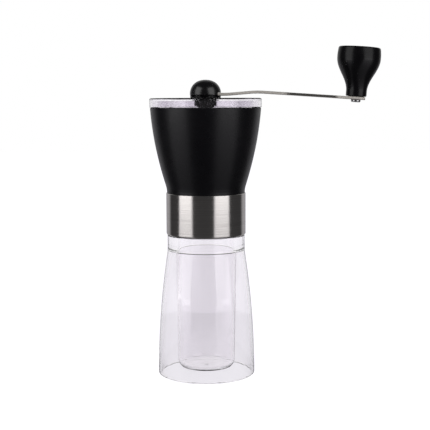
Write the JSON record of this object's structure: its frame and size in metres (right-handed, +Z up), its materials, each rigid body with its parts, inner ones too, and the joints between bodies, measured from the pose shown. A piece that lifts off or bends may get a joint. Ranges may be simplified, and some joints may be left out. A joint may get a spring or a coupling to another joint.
{
  "type": "hand crank coffee grinder",
  "caption": "Slim hand coffee grinder: clear flared container, steel band, black hopper with a conical burr set, clear lid and a top crank with a turning knob.",
  "frame": {"origin": "centre of the foot the container stands on", "axes": "+Z up the main axis, +X towards the crank's knob"},
  "size_m": [0.1497, 0.0728, 0.2143],
  "materials": {
    "clear_plastic": "clear, faint lavender tint, polished",
    "clear_lid": "clear, faint lavender-grey tint, polished",
    "black_plastic": "satin, fine moulded grain",
    "black_liner": "satin moulded",
    "knob_plastic": "satin, fine moulded grain",
    "brushed_steel": "brushed around the axis",
    "arm_steel": "fine brushed along the arm",
    "bright_steel": "turned",
    "spring_steel": "drawn wire",
    "ceramic": "fired, fine grain",
    "nylon": "moulded",
    "silicone": "soft"
  },
  "bodies": {
    "container": {"container": "clear_plastic"},
    "seal": {"seal_ring": "silicone"},
    "hopper": {"hopper_shell": "black_plastic", "hopper_liner": "black_liner", "steel_band": "brushed_steel", "upper_bush": "nylon", "lower_bush": "nylon", "burr_carrier": "black_liner", "carrier_screws": "bright_steel", "ring_burr": "ceramic"},
    "lid": {"lid": "clear_lid"},
    "shaft": {"drive_shaft": "bright_steel", "retaining_clip": "bright_steel", "thrust_washer": "bright_steel", "burr_spring": "spring_steel"},
    "burrs": {"cone_burr": "ceramic", "burr_core": "nylon", "click_plate": "bright_steel"},
    "adjuster": {"adjuster_nut": "black_liner"},
    "crank": {"crank_hub": "black_plastic", "crank_arm": "arm_steel", "hub_screw": "bright_steel", "crank_cap": "black_plastic", "knob_axle": "bright_steel", "knob_washer": "nylon", "axle_washer": "bright_steel", "axle_nut": "bright_steel"},
    "knob": {"knob": "knob_plastic", "knob_cap": "knob_plastic"}
  },
  "joints": [
    {"name": "hopper_turn", "type": "hinge", "parent": "container", "child": "seal", "pos_m": [0, 0, 0.11], "axis": [0, 0, 1], "range_deg": [0, 630]},
    {"name": "hopper_lift", "type": "slide", "parent": "seal", "child": "hopper", "axis": [0, 0, 1], "range_m": [0, 0.0053]},
    {"name": "lid_lift", "type": "slide", "parent": "hopper", "child": "lid", "axis": [0, 0, 1], "range_m": [0, 0.0121]},
    {"name": "crank_spin", "type": "hinge", "parent": "hopper", "child": "shaft", "pos_m": [0, 0, 0.13], "axis": [0, 0, 1], "continuous": true},
    {"name": "burr_travel", "type": "slide", "parent": "shaft", "child": "burrs", "axis": [0, 0, -1], "range_m": [0, 0.0012], "deforming": ["burr_spring"]},
    {"name": "adjuster_turn", "type": "hinge", "parent": "burrs", "child": "adjuster", "pos_m": [0, 0, 0.094], "axis": [0, 0, -1], "range_deg": [0, 540]},
    {"name": "crank_lift", "type": "slide", "parent": "shaft", "child": "crank", "axis": [0, 0, 1], "range_m": [0, 0.03]},
    {"name": "knob_spin", "type": "hinge", "parent": "crank", "child": "knob", "pos_m": [0.0975, 0, 0.18085], "axis": [0.0663, 0, 0.9978], "continuous": true}
  ],
  "couplings": [
    {"joint": "hopper_lift", "follows": "hopper_turn", "m_per_rad": 0.00047746},
    {"joint": "adjuster_turn", "follows": "burr_travel", "rad_per_m": 7854},
    {"joint": "lid_lift", "follows": "crank_lift", "ratio": 0.4}
  ]
}
